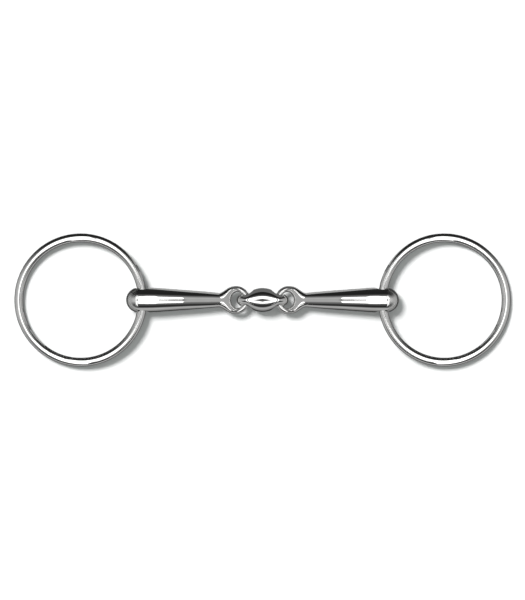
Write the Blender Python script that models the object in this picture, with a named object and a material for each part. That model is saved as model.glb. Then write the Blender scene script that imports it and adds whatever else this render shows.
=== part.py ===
"""Loose-ring snaffle bit: two cannons, an olive-shaped centre link and two rings, lying flat.

Units are metres. +X runs along the mouthpiece to the right, +Z points up from the table, and
all four joint axes run along Y at one height. The left half is the right half turned half a
turn about Z.
"""

import math
from collections import namedtuple

import bmesh
import bpy
from mathutils import Matrix, Vector

MM = 0.001
SIDES = 28  # facets round a lofted section
POINT = 1e-7  # half size of a section that ends a solid in a point

# Mouthpiece size: distance between the axes of the two ring holes.
BIT_SIZE = 135 * MM
RING_AXIS_X = BIT_SIZE / 2
AXIS_HEIGHT = 7 * MM

# Loose ring of round wire, 65 mm clear inside. Its far side rests on the table.
WIRE_RADIUS = 2.5 * MM
RING_RADIUS = 35 * MM
RING_TILT = math.asin((AXIS_HEIGHT - WIRE_RADIUS) / (2 * RING_RADIUS))
RING_SEGMENTS = 72
WIRE_SEGMENTS = 14

# Cannon: x counts from the middle of the bit. Width and height follow their own slopes, given
# as (x, slope) with straight lines between them. The neck is a little wider than it is high.
BULGE_RADIUS = AXIS_HEIGHT
WIDTH_SLOPES = ((24.5 * MM, 0.106), (40 * MM, 0.073), (58 * MM, 0.073), (66.5 * MM, 0.0))
HEIGHT_SLOPES = ((15.5 * MM, 0.125), (40 * MM, 0.125), (45 * MM, 0.073), (58 * MM, 0.073), (66.5 * MM, 0.0))
NECK_X = WIDTH_SLOPES[0][0]
BULGE_X = WIDTH_SLOPES[-1][0]
DOME_X = 69.7 * MM
FLARE_END_X = 17.3 * MM
WEB_START_X = HEIGHT_SLOPES[0][0]
WEB_HALF_WIDTH = 7.4 * MM

# Hole for the ring, with flared mouths that leave room for the wire's curve.
RING_HOLE_RADIUS = 3.2 * MM
RING_HOLE_STRAIGHT = 4.5 * MM
RING_HOLE_FLARE = 0.4 * MM

# Cannon eye: a rim on an oval path, with its hole along Z. Its height falls towards the bit's
# middle, as the neck's does.
FOLD_AXIS_X = 8.8 * MM
RIM_RADIUS = 1.65 * MM
RIM_HALF_LENGTH = 5.75 * MM
RIM_HALF_WIDTH = 6.15 * MM
RIM_X = FOLD_AXIS_X + RIM_HALF_LENGTH
RIM_POINTS = 36
RIM_INNER_HALF_HEIGHT = 1.25 * MM
RIM_SLOPE = 0.09
EYE_HOLE_X = 14.0 * MM
EYE_HOLE_HALF_LENGTH = 3.6 * MM
EYE_HOLE_HALF_WIDTH = 4.5 * MM

# Centre link: an olive whose two ends are eyes with their holes along Y.
LINK_TIP_X = 14.65 * MM
LINK_EYE_X = 7.65 * MM
LINK_HALF_HEIGHT = AXIS_HEIGHT
LINK_HALF_WIDTH = 6.75 * MM
OLIVE_OUTLINE_RADIUS = 13.5 * MM
OLIVE_HALF_LENGTH = 7.4 * MM
LINK_NOSE_HALF_WIDTH = 3.35 * MM
LINK_NOSE_START_X = 9.6 * MM
LINK_NOSE_X = 11.3 * MM

# The link's holes widen towards their mouths, mostly on the nose side, round the rim that
# curves away through them.
LINK_HOLE_X = 7.6 * MM
LINK_HOLE_RADIUS = 3.2 * MM
LINK_HOLE_GROWTH = 0.4 * MM
LINK_HOLE_SHIFT = 0.9 * MM
LINK_HOLE_MOST_FLARE = 1.7
LINK_NARROW_HALF_WIDTH = 3.5 * MM

# Polished stainless steel: colour and roughness of each sub-part.
STEEL_COLOUR = (0.78, 0.78, 0.77, 1.0)
ROUGHNESS = {"ring": 0.10, "cannon": 0.08, "link": 0.07}

# An oval cross-section of a loft, square to X. shift moves it along Y.
Section = namedtuple("Section", "x half_width half_height shift", defaults=(0,))


def clear_scene():
    for obj in list(bpy.data.objects):
        bpy.data.objects.remove(obj, do_unlink=True)


def steel(name):
    material = bpy.data.materials.new(name + "_steel")
    material.use_nodes = True
    shader = material.node_tree.nodes["Principled BSDF"]
    shader.inputs["Base Color"].default_value = STEEL_COLOUR
    shader.inputs["Metallic"].default_value = 1.0
    shader.inputs["Roughness"].default_value = ROUGHNESS[name]
    return material


def add_object(name, mesh):
    obj = bpy.data.objects.new(name, mesh)
    bpy.context.scene.collection.objects.link(obj)
    return obj


def mesh_from(bm, name):
    """Finish a bmesh as a mesh with its faces pointing out."""
    bmesh.ops.recalc_face_normals(bm, faces=bm.faces)
    mesh = bpy.data.meshes.new(name)
    bm.to_mesh(mesh)
    bm.free()
    return mesh


def loft(name, sections, sides=SIDES):
    """Closed solid along X through a list of Section. One of no size ends it in a point."""
    bm = bmesh.new()
    rows = []
    for section in sections:
        place = Matrix.Translation((section.x, section.shift, 0)) @ Matrix.Rotation(math.pi / 2, 4, "Y")
        size = (max(section.half_height, POINT), max(section.half_width, POINT), 1, 1)
        outline = place @ Matrix.Diagonal(size)
        made = bmesh.ops.create_circle(bm, segments=sides, radius=1, matrix=outline)
        rows.append(made["verts"])
    for low, high in zip(rows, rows[1:]):
        for k in range(sides):
            following = (k + 1) % sides
            bm.faces.new((low[k], low[following], high[following], high[k]))
    bm.faces.new(rows[0])
    bm.faces.new(rows[-1])
    bmesh.ops.remove_doubles(bm, verts=bm.verts, dist=10 * POINT)
    return mesh_from(bm, name)


def cut_or_join(body, others):
    """Boolean each (operation, object) in turn on body, keep the result and drop the helpers."""
    for operation, other in others:
        other.hide_render = True
        other.display_type = "WIRE"
        modifier = body.modifiers.new(operation.lower(), "BOOLEAN")
        modifier.operation = operation
        modifier.solver = "EXACT"
        modifier.object = other
    graph = bpy.context.evaluated_depsgraph_get()
    result = bpy.data.meshes.new_from_object(body.evaluated_get(graph))
    body.modifiers.clear()
    body.data = result
    for _, other in others:
        bpy.data.objects.remove(other, do_unlink=True)


def ease(t):
    """Smooth step from 0 to 1."""
    t = min(max(t, 0.0), 1.0)
    return t * t * (3 - 2 * t)


def fall_from_bulge(slopes, x):
    """How much lower than the bulge the surface is at x, by the area under its slopes beyond x."""
    fall = 0.0
    for (x0, slope0), (x1, slope1) in zip(slopes, slopes[1:]):
        if x < x1:
            low = max(x, x0)
            slope = slope0 + (slope1 - slope0) * (low - x0) / (x1 - x0)
            fall += (x1 - low) * (slope + slope1) / 2
    return fall


def spread(low, high, count):
    """Both ends and count - 1 even steps between them."""
    return [low + (high - low) * k / count for k in range(count + 1)]


def cannon_section(x):
    half_width = BULGE_RADIUS - fall_from_bulge(WIDTH_SLOPES, x)
    half_width += (WEB_HALF_WIDTH - half_width) * ease((NECK_X - x) / (NECK_X - FLARE_END_X))
    return Section(x, half_width, BULGE_RADIUS - fall_from_bulge(HEIGHT_SLOPES, x))


def cannon_sections():
    """Sections from the web at the eye, through neck and taper, to the domed outer end."""
    stations = spread(WEB_START_X, NECK_X, 7) + spread(NECK_X, BULGE_X, 10)[1:]
    sections = [cannon_section(x) for x in stations]
    for angle in spread(0, math.pi / 2, 6):
        radius = BULGE_RADIUS * math.cos(angle)
        sections.append(Section(DOME_X + BULGE_RADIUS * math.sin(angle), radius, radius))
    return sections


def eye_hole_cutter():
    """Oval hole through the web along Z, with mouths as round as the rim."""
    outline = [(-BULGE_RADIUS, RIM_RADIUS)]
    for angle in spread(-math.pi / 2, math.pi / 2, 6):
        outline.append((RIM_RADIUS * math.sin(angle), RIM_RADIUS * (1 - math.cos(angle))))
    outline.append((BULGE_RADIUS, RIM_RADIUS))
    sections = [Section(z, EYE_HOLE_HALF_WIDTH + grow, EYE_HOLE_HALF_LENGTH + grow) for z, grow in outline]
    cutter = add_object("eye_hole_cutter", loft("eye_hole", sections))
    cutter.data.transform(Matrix.Rotation(math.pi / 2, 4, "Y"))
    cutter.location.x = EYE_HOLE_X
    return cutter


def ring_hole_cutter():
    """Hole along Y that flares towards both mouths."""
    sections = []
    for y in (-BULGE_RADIUS - MM, -RING_HOLE_STRAIGHT, RING_HOLE_STRAIGHT, BULGE_RADIUS + MM):
        beyond = (abs(y) - RING_HOLE_STRAIGHT) / (BULGE_RADIUS - RING_HOLE_STRAIGHT)
        radius = RING_HOLE_RADIUS + RING_HOLE_FLARE * max(beyond, 0)
        sections.append(Section(y, radius, radius))
    cutter = add_object("ring_hole_cutter", loft("ring_hole", sections))
    cutter.data.transform(Matrix.Rotation(math.pi / 2, 4, "Z"))
    cutter.location.x = RING_AXIS_X
    return cutter


def eye_rim():
    """Closed rim on an oval path in the XY plane, its height falling towards the bit's middle."""
    curve = bpy.data.curves.new("eye_rim", "CURVE")
    curve.dimensions = "3D"
    curve.bevel_depth = RIM_RADIUS
    curve.bevel_resolution = 4
    path = curve.splines.new("POLY")
    path.points.add(RIM_POINTS - 1)
    path.use_cyclic_u = True
    for k, point in enumerate(path.points):
        angle = 2 * math.pi * k / RIM_POINTS
        x = RIM_X - RIM_HALF_LENGTH * math.cos(angle)
        point.co = (x, RIM_HALF_WIDTH * math.sin(angle), 0, 1)
    guide = add_object("rim_guide", curve)
    graph = bpy.context.evaluated_depsgraph_get()
    rim = add_object("eye_rim", bpy.data.meshes.new_from_object(guide.evaluated_get(graph)))
    bpy.data.objects.remove(guide, do_unlink=True)
    for vertex in rim.data.vertices:
        half_height = RIM_INNER_HALF_HEIGHT + RIM_SLOPE * (vertex.co.x - FOLD_AXIS_X)
        vertex.co.z *= half_height / RIM_RADIUS
    return rim


def cannon_mesh():
    """Right cannon, with its own origin on the fold axis."""
    body = add_object("cannon_body", loft("cannon_body", cannon_sections()))
    steps = [
        ("DIFFERENCE", eye_hole_cutter()),
        ("UNION", eye_rim()),
        ("DIFFERENCE", ring_hole_cutter()),
    ]
    cut_or_join(body, steps)
    mesh = body.data
    bpy.data.objects.remove(body, do_unlink=True)
    mesh.transform(Matrix.Translation((-FOLD_AXIS_X, 0, 0)))
    return mesh


def link_section(x):
    """Cross-section of the centre link at x, before its holes are cut."""
    reach = abs(x)
    olive_reach = min(reach, OLIVE_HALF_LENGTH)
    sagitta = OLIVE_OUTLINE_RADIUS - math.sqrt(OLIVE_OUTLINE_RADIUS**2 - olive_reach**2)
    half_width = LINK_HALF_WIDTH - sagitta
    if reach > OLIVE_HALF_LENGTH:
        t = min((reach - OLIVE_HALF_LENGTH) / (LINK_NOSE_START_X - OLIVE_HALF_LENGTH), 1)
        half_width += (LINK_NOSE_HALF_WIDTH - half_width) * ease(t)
    if reach > LINK_NOSE_X:
        nose = (reach - LINK_NOSE_X) / (LINK_TIP_X - LINK_NOSE_X)
        half_width *= math.sqrt(max(0, 1 - nose * nose))
    half_height = LINK_HALF_HEIGHT
    if reach > LINK_EYE_X:
        end = (reach - LINK_EYE_X) / (LINK_TIP_X - LINK_EYE_X)
        half_height *= math.sqrt(max(0, 1 - end * end))
    return Section(x, half_width, half_height)


def link_hole_cutter(side):
    """Hole along Y through one end of the link, narrowest in the middle."""
    sections = []
    for y in spread(-LINK_HALF_WIDTH - MM, LINK_HALF_WIDTH + MM, 14):
        flare = min((y / LINK_NARROW_HALF_WIDTH) ** 2, LINK_HOLE_MOST_FLARE)
        radius = LINK_HOLE_RADIUS + LINK_HOLE_GROWTH * flare
        sections.append(Section(y, radius, radius, -side * LINK_HOLE_SHIFT * flare))
    cutter = add_object("link_hole_cutter", loft("link_hole", sections))
    cutter.data.transform(Matrix.Rotation(math.pi / 2, 4, "Z"))
    cutter.location.x = side * LINK_HOLE_X
    return cutter


def link_mesh():
    """Centre link: a loft through both halves, with a hole through each end."""
    half = spread(0, LINK_EYE_X, 5)[:-1]
    for angle in spread(0, math.pi / 2, 8):
        half.append(LINK_EYE_X + (LINK_TIP_X - LINK_EYE_X) * math.sin(angle))
    stations = [-x for x in reversed(half[1:])] + half
    link = add_object("link_body", loft("link_body", [link_section(x) for x in stations]))
    cut_or_join(link, [("DIFFERENCE", link_hole_cutter(side)) for side in (-1, 1)])
    mesh = link.data
    bpy.data.objects.remove(link, do_unlink=True)
    return mesh


def ring_mesh():
    """Ring with its own origin on the axis of the hole that it hangs in."""
    bpy.ops.mesh.primitive_torus_add(
        major_radius=RING_RADIUS,
        minor_radius=WIRE_RADIUS,
        major_segments=RING_SEGMENTS,
        minor_segments=WIRE_SEGMENTS,
    )
    made = bpy.context.active_object
    mesh = made.data
    bpy.data.objects.remove(made, do_unlink=True)
    mesh.transform(Matrix.Translation((RING_RADIUS, 0, 0)))
    return mesh


def finish_mesh(mesh, material):
    mesh.materials.clear()
    mesh.materials.append(material)
    mesh.shade_smooth()
    mesh.set_sharp_from_angle(angle=math.radians(40))


def place(name, mesh, side, axis_x, tilt=0.0):
    """Put a piece on its joint axis; the left one is turned half a turn about Z."""
    obj = add_object(name, mesh)
    obj.location = Vector((side * axis_x, 0, AXIS_HEIGHT))
    obj.rotation_euler = (0, tilt, 0 if side > 0 else math.pi)


def main():
    clear_scene()
    ring, cannon, link = ring_mesh(), cannon_mesh(), link_mesh()
    finish_mesh(ring, steel("ring"))
    finish_mesh(cannon, steel("cannon"))
    finish_mesh(link, steel("link"))
    place("centre_link", link, 1, 0)
    for suffix, side in (("left", -1), ("right", 1)):
        place("cannon_" + suffix, cannon, side, FOLD_AXIS_X)
        place("ring_" + suffix, ring, side, RING_AXIS_X, RING_TILT)


main()
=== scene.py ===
"""Loose-ring snaffle bit in polished stainless steel, seen from straight above on a pale floor.

Everything is in metres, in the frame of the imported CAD. +X runs along the mouthpiece and +Z is up.
"""

import math

import bmesh
import bpy
import numpy as np
from mathutils import Matrix, Vector


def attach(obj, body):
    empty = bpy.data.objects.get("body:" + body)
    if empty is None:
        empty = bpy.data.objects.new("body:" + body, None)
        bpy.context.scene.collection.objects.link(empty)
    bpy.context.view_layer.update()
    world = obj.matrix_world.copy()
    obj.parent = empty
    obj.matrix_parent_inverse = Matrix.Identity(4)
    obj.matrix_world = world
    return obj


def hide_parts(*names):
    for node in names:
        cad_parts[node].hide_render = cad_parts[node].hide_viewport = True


MM = 0.001
AXIS_HEIGHT = 7 * MM

# Loose rings.
RING_AXIS_X = 67.5 * MM
WIRE_RADIUS = 2.5 * MM
RING_RADIUS = 35 * MM
RING_TILT = math.asin((AXIS_HEIGHT - WIRE_RADIUS) / (2 * RING_RADIUS))
RING_SEGMENTS = 512
WIRE_SEGMENTS = 48
WELD_HEIGHT = 0.035 * MM
WELD_WIDTH = 0.9 * MM
WELD_TURN = math.radians(58)

# Cannons: width and height follow their own slopes, as (x, slope) with straight lines between.
BULGE_RADIUS = 7 * MM
WIDTH_SLOPES = ((24.5 * MM, 0.106), (40 * MM, 0.073), (58 * MM, 0.073), (66.5 * MM, 0.0))
HEIGHT_SLOPES = (
    (15.5 * MM, 0.125),
    (40 * MM, 0.125),
    (45 * MM, 0.073),
    (58 * MM, 0.073),
    (66.5 * MM, 0.0),
)
NECK_X = WIDTH_SLOPES[0][0]
DOME_X = 69.7 * MM
FLARE_END_X = 17.3 * MM
WEB_START_X = HEIGHT_SLOPES[0][0]
WEB_HALF_WIDTH = 7.4 * MM
RING_HOLE_RADIUS = 3.2 * MM
RING_HOLE_STRAIGHT = 4.5 * MM
RING_HOLE_FLARE = 0.4 * MM
FOLD_AXIS_X = 8.8 * MM
RIM_RADIUS = 1.65 * MM
RIM_INNER_HALF_HEIGHT = 1.25 * MM
RIM_OUTER_ROUND = 2.0 * MM
RIM_INNER_ROUND = 1.1 * MM
OUTLINE_BLEND = 0.4
RIM_HALF_LENGTH = 5.75 * MM
RIM_HALF_WIDTH = 6.15 * MM
RIM_X = 14.55 * MM
EYE_HOLE_X = 14.0 * MM
EYE_HOLE_HALF_LENGTH = 3.6 * MM
EYE_HOLE_HALF_WIDTH = 4.5 * MM

# Centre link.
LINK_TIP_X = 14.65 * MM
LINK_EYE_X = 7.65 * MM
LINK_HALF_HEIGHT = AXIS_HEIGHT
LINK_HALF_WIDTH = 6.75 * MM
OLIVE_OUTLINE_RADIUS = 13.5 * MM
OLIVE_BLEND = 1.0 * MM
LINK_NOSE_HALF_WIDTH = 3.35 * MM
LINK_NOSE_X = 11.3 * MM
LINK_HOLE_X = 7.6 * MM
LINK_HOLE_RADIUS = 3.2 * MM
LINK_HOLE_GROWTH = 0.4 * MM
LINK_HOLE_SHIFT = 0.9 * MM
LINK_HOLE_MOST_FLARE = 1.7
LINK_NARROW_HALF_WIDTH = 3.5 * MM

# Fine meshes: the rounding where a hole meets the outside, the grid, and how points reach the surface.
EDGE = 0.7 * MM
VOXEL = 0.22 * MM
LINK_VOXEL = 0.8 * VOXEL
LONGEST_PULL = 0.2 * MM
FIRST_PULLS = 4
RELAX_ROUNDS = 5
RELAX_SHARE = 0.6
RELAX_PULLS = 2


# ---------------------------------------------------------------- surfaces
def smooth_min(a, b, k):
    h = np.clip(0.5 + 0.5 * (b - a) / k, 0, 1)
    return b * (1 - h) + a * h - k * h * (1 - h)


def smooth_max(a, b, k):
    return -smooth_min(-a, -b, k)


def ease(t):
    t = np.clip(t, 0, 1)
    return t * t * (3 - 2 * t)


def gradient(field, p, step=2e-6):
    parts = []
    for k in range(3):
        d = np.zeros(3)
        d[k] = step
        parts.append((field(p + d) - field(p - d)) / (2 * step))
    return np.stack(parts, axis=-1)


def as_distance(field, p):
    """First-order distance to the surface where field is zero."""
    slope = np.linalg.norm(gradient(field, p), axis=-1)
    return field(p) / np.maximum(slope, 1e-6)


def fall_from_bulge(slopes, x):
    """How much lower than the bulge the surface is at x, by the area under its slopes beyond x."""
    fall = np.zeros_like(x)
    for (x0, slope0), (x1, slope1) in zip(slopes, slopes[1:]):
        low = np.clip(x, x0, x1)
        slope = slope0 + (slope1 - slope0) * (low - x0) / (x1 - x0)
        fall = fall + (x1 - low) * (slope + slope1) / 2
    return fall


def cannon_radii(x):
    """Half width and half height of the cannon's section at x."""
    width = BULGE_RADIUS - fall_from_bulge(WIDTH_SLOPES, x)
    width = width + (WEB_HALF_WIDTH - width) * ease((NECK_X - x) / (NECK_X - FLARE_END_X))
    return width, BULGE_RADIUS - fall_from_bulge(HEIGHT_SLOPES, x)


def from_ellipse(x, y, half_length, half_width):
    """First-order distance outside an ellipse, in plan."""
    size = np.sqrt((x / half_length) ** 2 + (y / half_width) ** 2)
    slope = np.sqrt((x / half_length**2) ** 2 + (y / half_width**2) ** 2)
    return (size - 1) * size / np.maximum(slope, 1e-6)


def from_hole(p):
    """First-order distance outside the eye's hole, in plan."""
    return from_ellipse(p[..., 0] - EYE_HOLE_X, p[..., 1], EYE_HOLE_HALF_LENGTH, EYE_HOLE_HALF_WIDTH)


def cannon_body(p):
    """Zero on the right cannon without its ring hole: round beyond the neck and flat-topped inside it,
    where the web and the eye's ring share one sloping face."""
    x, y, z = p[..., 0], p[..., 1], p[..., 2]
    width, height = cannon_radii(x)
    web_height = BULGE_RADIUS - fall_from_bulge(HEIGHT_SLOPES, np.array(WEB_START_X))
    thinning = (web_height - RIM_INNER_HALF_HEIGHT) / (WEB_START_X - FOLD_AXIS_X)
    height = height - thinning * np.maximum(WEB_START_X - x, 0)
    neckward = ease((x - FLARE_END_X) / (NECK_X - FLARE_END_X))
    rounding = RIM_OUTER_ROUND + (width - RIM_OUTER_ROUND) * neckward
    start = (WEB_START_X - x) / RIM_OUTER_ROUND
    web = smooth_max((np.abs(y) - width) / rounding, start, OUTLINE_BLEND)
    rim = (from_ellipse(x - RIM_X, y, RIM_HALF_LENGTH, RIM_HALF_WIDTH) - RIM_RADIUS) / RIM_OUTER_ROUND
    outer = np.maximum(1 + smooth_min(web, rim, OUTLINE_BLEND), 0)
    inner = np.maximum(1 - from_hole(p) / RIM_INNER_ROUND, 0)
    side = np.sqrt(outer**2 + inner**2 + (z / height) ** 2) - 1
    end = np.sqrt((x - DOME_X) ** 2 + y * y + z * z) / BULGE_RADIUS - 1
    return np.where(x > DOME_X, end, side)


def cannon_surface(p):
    """Distance outside the right cannon. z counts from the axis."""
    x, y, z = p[..., 0], p[..., 1], p[..., 2]
    beyond = np.maximum((np.abs(y) - RING_HOLE_STRAIGHT) / (BULGE_RADIUS - RING_HOLE_STRAIGHT), 0)
    hole = np.hypot(x - RING_AXIS_X, z) - RING_HOLE_RADIUS - RING_HOLE_FLARE * beyond
    return smooth_max(as_distance(cannon_body, p), -hole, EDGE)


def link_body(p):
    """Zero on the link without its eyes' holes: an olive, and a rounded nose at each end."""
    x, y, z = np.abs(p[..., 0]), p[..., 1], p[..., 2]
    olive = np.minimum(x, LINK_NOSE_X)
    width = LINK_HALF_WIDTH - OLIVE_OUTLINE_RADIUS + np.sqrt(OLIVE_OUTLINE_RADIUS**2 - olive**2)
    width = smooth_max(width, LINK_NOSE_HALF_WIDTH, OLIVE_BLEND)
    e = np.maximum((x - LINK_EYE_X) / (LINK_TIP_X - LINK_EYE_X), 0)
    middle = (y / width) ** 2 + (z / LINK_HALF_HEIGHT) ** 2 / np.maximum(1 - e * e, 1e-3) - 1
    a = np.maximum((x - LINK_NOSE_X) / (LINK_TIP_X - LINK_NOSE_X), 0)
    ratio = (LINK_TIP_X - LINK_EYE_X) / (LINK_TIP_X - LINK_NOSE_X) * (1 + a) / (1 + e)
    nose = (y / LINK_NOSE_HALF_WIDTH) ** 2 + (z / LINK_HALF_HEIGHT) ** 2 * ratio + a * a - 1
    return np.where(x > LINK_NOSE_X, nose, middle)


def link_surface(p):
    """Distance outside the centre link. z counts from the axis."""
    x, y, z = np.abs(p[..., 0]), p[..., 1], p[..., 2]
    flare = np.minimum((y / LINK_NARROW_HALF_WIDTH) ** 2, LINK_HOLE_MOST_FLARE)
    centre = LINK_HOLE_X + LINK_HOLE_SHIFT * flare
    hole = np.hypot(x - centre, z) - LINK_HOLE_RADIUS - LINK_HOLE_GROWTH * flare
    return smooth_max(as_distance(link_body, p), -hole, EDGE)


def mesh_points(mesh):
    co = np.empty(len(mesh.vertices) * 3, np.float32)
    mesh.vertices.foreach_get("co", co)
    return co.reshape(-1, 3).astype(np.float64)


def set_points(mesh, points):
    mesh.vertices.foreach_set("co", points.astype(np.float32).ravel())
    mesh.update()


def relaxed(mesh, points, share):
    """Each point moved part of the way to the middle of its neighbours."""
    ends = np.empty(len(mesh.edges) * 2, np.int32)
    mesh.edges.foreach_get("vertices", ends)
    a, b = ends.reshape(-1, 2).T
    total = np.zeros_like(points)
    count = np.zeros(len(points))
    np.add.at(total, a, points[b])
    np.add.at(total, b, points[a])
    np.add.at(count, a, 1)
    np.add.at(count, b, 1)
    return points + share * (total / count[:, None] - points)


def pulled(surface, points, rounds):
    """Points moved towards where surface is zero, in a few short steps."""
    lift = np.array([0, 0, AXIS_HEIGHT])
    for _ in range(rounds):
        q = points - lift
        distance = surface(q)
        slope = gradient(surface, q)
        length = np.maximum((slope**2).sum(-1), 0.25)
        step = np.clip(distance / length, -LONGEST_PULL, LONGEST_PULL)
        points = points - step[:, None] * slope
    return points


def fine_piece(name, node, surface, voxel):
    """A CAD node's shape, remeshed finely and drawn onto the exact surface."""
    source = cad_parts[node]
    rough = bpy.data.objects.new(name, source.data.copy())
    bpy.context.scene.collection.objects.link(rough)
    remesh = rough.modifiers.new("remesh", "REMESH")
    remesh.mode = "VOXEL"
    remesh.voxel_size = voxel
    graph = bpy.context.evaluated_depsgraph_get()
    mesh = bpy.data.meshes.new_from_object(rough.evaluated_get(graph))
    rough.modifiers.clear()
    rough.data = mesh
    points = pulled(surface, mesh_points(mesh), FIRST_PULLS)
    for _ in range(RELAX_ROUNDS):
        points = pulled(surface, relaxed(mesh, points, RELAX_SHARE), RELAX_PULLS)
    set_points(mesh, points)
    normals = gradient(surface, points - np.array([0, 0, AXIS_HEIGHT]))
    normals /= np.linalg.norm(normals, axis=1)[:, None]
    mesh.shade_smooth()
    mesh.normals_split_custom_set_from_vertices(normals.tolist())
    return rough


def turned_copy(obj, name):
    """The left-hand piece: the right-hand one turned half a turn about Z."""
    copy = bpy.data.objects.new(name, obj.data.copy())
    bpy.context.scene.collection.objects.link(copy)
    points = mesh_points(copy.data) * np.array([-1, -1, 1])
    set_points(copy.data, points)
    return copy


def ring_piece(name, side):
    """Ring of round wire with a trace of its ground-down butt weld."""
    bm = bmesh.new()
    rows = []
    for i in range(RING_SEGMENTS):
        turn = 2 * math.pi * i / RING_SEGMENTS
        along = math.remainder(turn - WELD_TURN, 2 * math.pi) * RING_RADIUS
        radius = WIRE_RADIUS + WELD_HEIGHT * math.exp(-((along / WELD_WIDTH) ** 2))
        out = Vector((math.cos(turn), math.sin(turn), 0))
        row = []
        for j in range(WIRE_SEGMENTS):
            roll = 2 * math.pi * j / WIRE_SEGMENTS
            point = out * (RING_RADIUS + radius * math.cos(roll))
            point.z = radius * math.sin(roll)
            row.append(bm.verts.new(point))
        rows.append(row)
    for i, row in enumerate(rows):
        following = rows[(i + 1) % RING_SEGMENTS]
        for j in range(WIRE_SEGMENTS):
            k = (j + 1) % WIRE_SEGMENTS
            bm.faces.new((row[j], following[j], following[k], row[k]))
    bmesh.ops.recalc_face_normals(bm, faces=bm.faces)
    place = (
        Matrix.Rotation(0 if side > 0 else math.pi, 4, "Z")
        @ Matrix.Translation((RING_AXIS_X, 0, AXIS_HEIGHT))
        @ Matrix.Rotation(RING_TILT, 4, "Y")
        @ Matrix.Translation((RING_RADIUS, 0, 0))
    )
    bm.transform(place)
    mesh = bpy.data.meshes.new(name)
    bm.to_mesh(mesh)
    bm.free()
    mesh.shade_smooth()
    obj = bpy.data.objects.new(name, mesh)
    bpy.context.scene.collection.objects.link(obj)
    return obj


# ---------------------------------------------------------------- materials
CLOUDS_PER_METRE = 90
MARKS_PER_METRE = 2600
SCUFFS_PER_METRE = 700
MARK_ROUGHNESS = 0.02
SCUFF_ROUGHNESS = 0.06
MARK_DEPTH = 0.004 * MM
SATIN_FADE = 1.2 * MM
SATIN_ROUGHNESS = 0.22
BUMP_STRENGTH = 0.12
STEEL_TINT = (0.86, 0.86, 0.85)
TINT_LIGHTEST = 1.03
TINT_DARKEST = 0.95
CLOUD_ROUGHENING = 1.35
NOISE_ROUGHNESS = 0.6
CANNON_ROUGHNESS = 0.025
LINK_ROUGHNESS = 0.02
RING_ROUGHNESS = 0.03
FLOOR_SIZE = 8
FLOOR_BRIGHTNESS = 0.82
FLOOR_ROUGHNESS = 0.9


def new_material(name):
    material = bpy.data.materials.new(name)
    material.use_nodes = True
    return material, material.node_tree.nodes, material.node_tree.links


def grey(value):
    return (value, value, value, 1)


def colour_ramp(nodes, links, source, stops):
    """Colour by source, through (position, colour) stops in rising order."""
    node = nodes.new("ShaderNodeValToRGB")
    while len(node.color_ramp.elements) < len(stops):
        node.color_ramp.elements.new(0.5)
    for element, (position, colour) in zip(node.color_ramp.elements, stops):
        element.position = position
        element.color = colour
    links.new(source, node.inputs["Fac"])
    return node.outputs["Color"]


def steel(name, tint, roughness, grain, satin_from=None):
    """Mirror-polished stainless steel. grain: how much longer polishing marks are along x, y, z.
    Beyond satin_from along the bit, either way, its finish is satin."""
    material, nodes, links = new_material(name)
    shader = nodes["Principled BSDF"]
    shader.inputs["Metallic"].default_value = 1.0
    where = nodes.new("ShaderNodeTexCoord")

    def noise(scale, detail, stretch=(1, 1, 1)):
        mapping = nodes.new("ShaderNodeMapping")
        mapping.inputs["Scale"].default_value = [scale / s for s in stretch]
        texture = nodes.new("ShaderNodeTexNoise")
        texture.inputs["Scale"].default_value = 1.0
        texture.inputs["Detail"].default_value = detail
        texture.inputs["Roughness"].default_value = NOISE_ROUGHNESS
        links.new(where.outputs["Object"], mapping.inputs["Vector"])
        links.new(mapping.outputs["Vector"], texture.inputs["Vector"])
        return texture.outputs["Fac"]

    def ramp(source, stops):
        return colour_ramp(nodes, links, source, stops)

    def add(a, b):
        node = nodes.new("ShaderNodeMath")
        node.operation = "ADD"
        links.new(a, node.inputs[0])
        links.new(b, node.inputs[1])
        return node.outputs[0]

    cloud = noise(CLOUDS_PER_METRE, 3)
    marks = noise(MARKS_PER_METRE, 3, grain)
    scuffs = noise(SCUFFS_PER_METRE, 6)
    light = tuple(min(1.0, c * TINT_LIGHTEST) for c in tint) + (1,)
    dark = tuple(c * TINT_DARKEST for c in tint) + (1,)
    links.new(ramp(cloud, [(0.3, dark), (0.7, light)]), shader.inputs["Base Color"])
    base = ramp(cloud, [(0.35, grey(roughness)), (0.65, grey(roughness * CLOUD_ROUGHENING))])
    fine = ramp(marks, [(0.55, grey(0)), (0.75, grey(MARK_ROUGHNESS))])
    worn = ramp(scuffs, [(0.62, grey(0)), (0.78, grey(SCUFF_ROUGHNESS))])
    total = add(add(base, fine), worn)
    if satin_from is not None:
        split = nodes.new("ShaderNodeSeparateXYZ")
        links.new(where.outputs["Object"], split.inputs[0])
        out = nodes.new("ShaderNodeMath")
        out.operation = "ABSOLUTE"
        links.new(split.outputs["X"], out.inputs[0])
        band = nodes.new("ShaderNodeMapRange")
        band.interpolation_type = "SMOOTHSTEP"
        band.inputs["From Min"].default_value = satin_from
        band.inputs["From Max"].default_value = satin_from + SATIN_FADE
        band.inputs["To Max"].default_value = SATIN_ROUGHNESS
        links.new(out.outputs[0], band.inputs["Value"])
        total = add(total, band.outputs["Result"])
    links.new(total, shader.inputs["Roughness"])
    bump = nodes.new("ShaderNodeBump")
    bump.inputs["Strength"].default_value = BUMP_STRENGTH
    bump.inputs["Distance"].default_value = MARK_DEPTH
    links.new(marks, bump.inputs["Height"])
    links.new(bump.outputs["Normal"], shader.inputs["Normal"])
    return material


def floor_material():
    material, nodes, _ = new_material("pale_floor")
    shader = nodes["Principled BSDF"]
    shader.inputs["Base Color"].default_value = grey(FLOOR_BRIGHTNESS)
    shader.inputs["Roughness"].default_value = FLOOR_ROUGHNESS
    shader.inputs["Specular IOR Level"].default_value = 0.0
    return material


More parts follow.
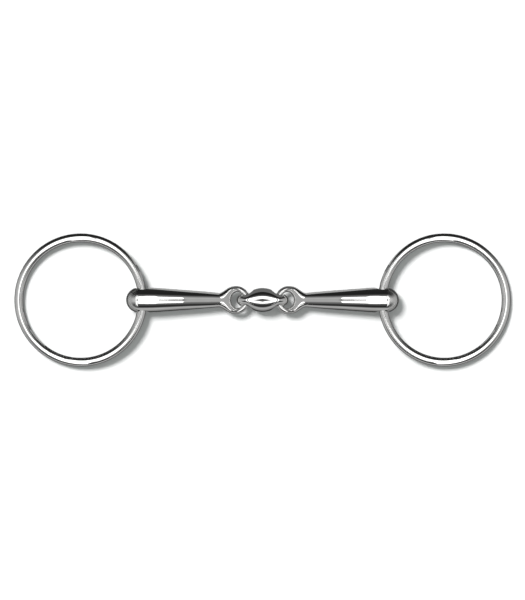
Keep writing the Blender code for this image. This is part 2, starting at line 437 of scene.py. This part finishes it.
# ---------------------------------------------------------------- studio
# Brightness of the studio by degrees from straight up: towards its two ends, its back, its front.
ENDS = (
    (0, 0.12), (8.5, 0.12), (10.5, 0.41), (16, 0.41), (24, 0.44), (32, 0.56), (48, 0.58),
    (70, 0.42), (98, 0.46), (113, 0.42), (121, 0.05), (150, 0.04), (168, 0.2), (180, 0.4),
)
BACK = (
    (0, 0.12), (8.5, 0.12), (10.5, 0.45), (26, 0.48), (41, 0.18), (52, 0.05), (60, 0.015),
    (100, 0.02), (125, 0.035), (150, 0.08), (165, 0.3), (180, 0.45),
)
FRONT = (
    (0, 0.12), (8.5, 0.12), (10.5, 0.45), (20, 0.48), (34, 0.16), (46, 0.12), (56, 0.02),
    (72, 0.03), (85, 0.45), (98, 0.5), (106, 0.3), (118, 0.33), (130, 0.06), (160, 0.04),
    (180, 0.35),
)
SIDE_START = 0.15
SIDE_SPREAD = 1.5
FILL_LIGHT = (0.40, 0.422, 0.414, 1)

# Light panels: a level ceiling, and one leaning panel out beyond each ring. REACH and LOSS are in degrees.
PANEL_RADIANCE = 1.4
CEILING = 1.9
REACH_BACK = 37
REACH_FRONT = 36
# Towards its ends the ceiling's light is in steps: narrower, and dark over the middle.
BAND_NEAR_X = 0.10
BAND_FAR_X = 0.232
BAND_STEPS = 7
BAND_GAP_START = 0.3
BAND_GAP = 0.9
BAND_BACK_SHARE = 0.8
BAND_LOSS_BACK = 11
BAND_LOSS_FRONT = 5
RING_PANEL_X = 0.133
RING_PANEL_Z = 0.4
RING_PANEL_LENGTH = 0.7
RING_PANEL_LEAN = 55
RING_PANEL_BACK = 0.38
RING_PANEL_FRONT = -0.75
# Cards in the reflections only: behind each neck and the link, above the link and outside each dome.
NECK_CARD_Y = 0.06
NECK_CARD_TOPS = ((0.014, 0.012), (0.066, -0.03))
NECK_CARD_BOTTOM = -0.10
NECK_CARD_LIGHT = 0.42
DOME_FLAG_X = (0.078, 0.118)
DOME_FLAG_HALF_WIDTH = 0.009
DOME_FLAG_Z = 0.12
DOME_FLAG_LIGHT = 0.22
LINK_FLAG_POINTS = ((-0.006, -0.002), (0.0, -0.016), (0.006, -0.002), (0.0, 0.012))
LINK_FLAG_Z = 0.06
LINK_FLAG_LIGHT = 0.12
LINK_CARD_Y = 0.02
LINK_CARD_TOPS = ((-0.021, 0.013), (0.021, 0.013))
LINK_CARD_BOTTOM = -0.05
LINK_CARD_LIGHT = 0.15
KEY_STRENGTH = 3.8
KEY_SOFTNESS = 21
KEY_DIRECTION = (-0.45, 0.45, 1.0)
SENSOR_WIDTH = 36
CAMERA_DISTANCE = 2.0
VIEW_HEIGHT = 337.5 * MM


def panel(name, size, place, lean=0.0):
    """Soft light panel above the object, seen only in its reflections."""
    data = bpy.data.lights.new(name, "AREA")
    data.shape = "RECTANGLE"
    data.size, data.size_y = size
    data.energy = PANEL_RADIANCE * math.pi * size[0] * size[1]
    obj = bpy.data.objects.new(name, data)
    obj.location = place
    obj.rotation_euler = (0, lean, 0)
    obj.visible_camera = False
    obj.visible_diffuse = False
    bpy.context.scene.collection.objects.link(obj)


def ceiling_panel(name, x_range, y_range):
    """Level panel between these distances, high above the object."""
    size = (x_range[1] - x_range[0], y_range[1] - y_range[0])
    panel(name, size, (sum(x_range) / 2, sum(y_range) / 2, CEILING))


def ceiling_panels(name, near, far, back, front):
    """Panels behind and in front of the bit, between these distances from its middle on either side."""
    for end, side in (("left", -1), ("right", 1)):
        x_range = sorted((side * near, side * far))
        ceiling_panel(f"{end}_{name}_back", x_range, back)
        ceiling_panel(f"{end}_{name}_front", x_range, sorted(front))


def reach(degrees):
    """How far out along the ceiling this angle from straight up is."""
    return CEILING * math.tan(math.radians(degrees))


def wall(y, left_top, right_top, bottom):
    """Corners of an upright card behind the object, from bottom to its (x, z) tops."""
    (x0, top0), (x1, top1) = left_top, right_top
    return [(x0, y, bottom), (x1, y, bottom), (x1, y, top1), (x0, y, top0)]


def level(x0, x1, half_width, height):
    """Corners of a level card."""
    corners = ((x0, -half_width), (x1, -half_width), (x1, half_width), (x0, half_width))
    return [(x, y, height) for x, y in corners]


def card(name, corners, brightness):
    """Card close to the object, seen only in reflections."""
    mesh = bpy.data.meshes.new(name)
    mesh.from_pydata(corners, [], [(0, 1, 2, 3)])
    material, nodes, _ = new_material(name + "_material")
    shader = nodes["Principled BSDF"]
    shader.inputs["Base Color"].default_value = (0, 0, 0, 1)
    shader.inputs["Specular IOR Level"].default_value = 0
    shader.inputs["Emission Color"].default_value = (1, 1, 1, 1)
    shader.inputs["Emission Strength"].default_value = brightness
    material.cycles.emission_sampling = "NONE"
    mesh.materials.append(material)
    obj = bpy.data.objects.new(name, mesh)
    bpy.context.scene.collection.objects.link(obj)
    for ray in ("camera", "diffuse", "transmission", "volume_scatter", "shadow"):
        setattr(obj, "visible_" + ray, False)


def ring_panel(name, side):
    """Panel beyond the ring, leaning so that the other ring only sees its back."""
    lean = math.radians(RING_PANEL_LEAN)
    size = (RING_PANEL_LENGTH, RING_PANEL_BACK - RING_PANEL_FRONT)
    along = RING_PANEL_LENGTH / 2
    x = side * (RING_PANEL_X + along * math.cos(lean))
    y = (RING_PANEL_BACK + RING_PANEL_FRONT) / 2
    panel(name, size, (x, y, RING_PANEL_Z + along * math.sin(lean)), lean=-side * lean)


def key_light():
    """Soft light from above, for the shadow on the floor. Polished metal doesn't reflect it."""
    data = bpy.data.lights.new("key", "SUN")
    data.energy = KEY_STRENGTH
    data.angle = math.radians(KEY_SOFTNESS)
    obj = bpy.data.objects.new("key", data)
    obj.rotation_euler = Vector(KEY_DIRECTION).to_track_quat("Z", "Y").to_euler()
    obj.visible_glossy = False
    bpy.context.scene.collection.objects.link(obj)


def studio_world():
    """White to the camera, soft grey to the floor, and light and dark bands to polished metal."""
    world = bpy.data.worlds.new("studio")
    bpy.context.scene.world = world
    world.use_nodes = True
    nodes, links = world.node_tree.nodes, world.node_tree.links
    nodes.clear()

    def math_node(operation, a, b=None):
        node = nodes.new("ShaderNodeMath")
        node.operation = operation
        for k, value in enumerate((a, b)):
            if value is None:
                continue
            if isinstance(value, (int, float)):
                node.inputs[k].default_value = value
            else:
                links.new(value, node.inputs[k])
        return node.outputs[0]

    def ramp(source, stops):
        return colour_ramp(nodes, links, source, [(angle / 180, grey(value)) for angle, value in stops])

    def eased(share):
        share = math_node("MINIMUM", math_node("MAXIMUM", share, 0.0), 1.0)
        square = math_node("MULTIPLY", share, share)
        return math_node("MULTIPLY", square, math_node("SUBTRACT", 3.0, math_node("MULTIPLY", share, 2.0)))

    def mix(factor, a, b):
        node = nodes.new("ShaderNodeMix")
        node.data_type = "RGBA"
        links.new(factor, node.inputs["Factor"])
        for name, value in (("A", a), ("B", b)):
            socket = [s for s in node.inputs if s.name == name and s.type == "RGBA"][0]
            if isinstance(value, tuple):
                socket.default_value = value
            else:
                links.new(value, socket)
        return [s for s in node.outputs if s.type == "RGBA"][0]

    where = nodes.new("ShaderNodeTexCoord")
    split = nodes.new("ShaderNodeSeparateXYZ")
    links.new(where.outputs["Generated"], split.inputs[0])
    x, y, z = split.outputs
    from_zenith = math_node("DIVIDE", math_node("ARCCOSINE", z), math.pi)
    across = math_node("SQRT", math_node("SUBTRACT", 1.0, math_node("MULTIPLY", z, z)))
    sideways = math_node("DIVIDE", y, math_node("MAXIMUM", across, 1e-4))
    ends = ramp(from_zenith, ENDS)
    back = ramp(from_zenith, BACK)
    front = ramp(from_zenith, FRONT)
    to_back = eased(math_node("MULTIPLY", math_node("SUBTRACT", sideways, SIDE_START), SIDE_SPREAD))
    to_front = eased(math_node("MULTIPLY", math_node("ADD", sideways, SIDE_START), -SIDE_SPREAD))
    walls = mix(to_front, mix(to_back, ends, back), front)
    path = nodes.new("ShaderNodeLightPath")
    lit = mix(path.outputs["Is Glossy Ray"], FILL_LIGHT, walls)
    seen = mix(path.outputs["Is Camera Ray"], lit, grey(1.0))
    background = nodes.new("ShaderNodeBackground")
    output = nodes.new("ShaderNodeOutputWorld")
    links.new(seen, background.inputs["Color"])
    links.new(background.outputs["Background"], output.inputs["Surface"])


def build_studio():
    bpy.ops.mesh.primitive_plane_add(size=FLOOR_SIZE)
    floor = bpy.context.active_object
    floor.name = "floor"
    floor.data.materials.append(floor_material())
    floor.visible_glossy = False
    studio_world()
    key_light()
    ceiling_panels("inner", 0.0, BAND_NEAR_X, (0.0, reach(REACH_BACK)), (0.0, -reach(REACH_FRONT)))
    band_width = (BAND_FAR_X - BAND_NEAR_X) / BAND_STEPS
    for step in range(BAND_STEPS):
        near = BAND_NEAR_X + band_width * step
        far = BAND_NEAR_X + band_width * (step + 1)
        share = (step + 0.5) / BAND_STEPS
        gap = max(0.0, share - BAND_GAP_START) * BAND_GAP
        back_edge = reach(REACH_BACK - BAND_LOSS_BACK * share)
        front_edge = -reach(REACH_FRONT - BAND_LOSS_FRONT * share)
        ceiling_panels(f"band_{step}", near, far, (BAND_BACK_SHARE * gap, back_edge), (-gap, front_edge))
    for end, side in (("left", -1), ("right", 1)):
        ring_panel(end + "_ring", side)
        near_top, far_top = ((side * x, z) for x, z in NECK_CARD_TOPS)
        card(end + "_neck_card", wall(NECK_CARD_Y, near_top, far_top, NECK_CARD_BOTTOM), NECK_CARD_LIGHT)
        flag = level(side * DOME_FLAG_X[0], side * DOME_FLAG_X[1], DOME_FLAG_HALF_WIDTH, DOME_FLAG_Z)
        card(end + "_flag", flag, DOME_FLAG_LIGHT)
    card("link_flag", [(x, y, LINK_FLAG_Z) for x, y in LINK_FLAG_POINTS], LINK_FLAG_LIGHT)
    card("link_card", wall(LINK_CARD_Y, *LINK_CARD_TOPS, LINK_CARD_BOTTOM), LINK_CARD_LIGHT)


def add_camera():
    """Straight above the middle of the bit, which lies level across the view."""
    data = bpy.data.cameras.new("camera")
    data.sensor_width = SENSOR_WIDTH
    data.lens = data.sensor_width * CAMERA_DISTANCE / VIEW_HEIGHT
    data.clip_start, data.clip_end = 0.01, 100
    camera = bpy.data.objects.new("camera", data)
    camera.location = (0, 0, AXIS_HEIGHT + CAMERA_DISTANCE)
    bpy.context.scene.collection.objects.link(camera)
    bpy.context.scene.camera = camera


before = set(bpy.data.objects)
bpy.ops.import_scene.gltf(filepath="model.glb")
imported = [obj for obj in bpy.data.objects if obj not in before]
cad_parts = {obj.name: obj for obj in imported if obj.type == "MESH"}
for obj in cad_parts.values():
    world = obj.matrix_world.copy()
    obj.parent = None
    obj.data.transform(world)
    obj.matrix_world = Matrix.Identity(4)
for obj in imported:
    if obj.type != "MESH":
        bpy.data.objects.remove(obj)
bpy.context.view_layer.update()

cannon_right = fine_piece("cannon_right_fine", "cannon_right", cannon_surface, VOXEL)
cannon_left = turned_copy(cannon_right, "cannon_left_fine")
link = fine_piece("link_fine", "centre_link", link_surface, LINK_VOXEL)
ring_right = ring_piece("ring_right_fine", 1)
ring_left = ring_piece("ring_left_fine", -1)

cannon_steel = steel("cannon_polished_steel", STEEL_TINT, CANNON_ROUGHNESS, (9, 1, 1), DOME_X)
link_steel = steel("link_polished_steel", STEEL_TINT, LINK_ROUGHNESS, (5, 1, 1))
ring_steel = steel("ring_polished_steel", STEEL_TINT, RING_ROUGHNESS, (1, 1, 1))
for piece, material, body, node, slot in (
    (cannon_right, cannon_steel, "right_cannon", "cannon_right", "cannon_steel"),
    (cannon_left, cannon_steel, "left_cannon", "cannon_left", "cannon_steel"),
    (link, link_steel, "centre_link", "centre_link", "link_steel"),
    (ring_right, ring_steel, "right_ring", "ring_right", "ring_steel"),
    (ring_left, ring_steel, "left_ring", "ring_left", "ring_steel"),
):
    piece.data.materials.clear()
    piece.data.materials.append(material)
    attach(piece, body)
    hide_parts(node)

build_studio()
add_camera()
bpy.context.scene.view_settings.view_transform = "Standard"
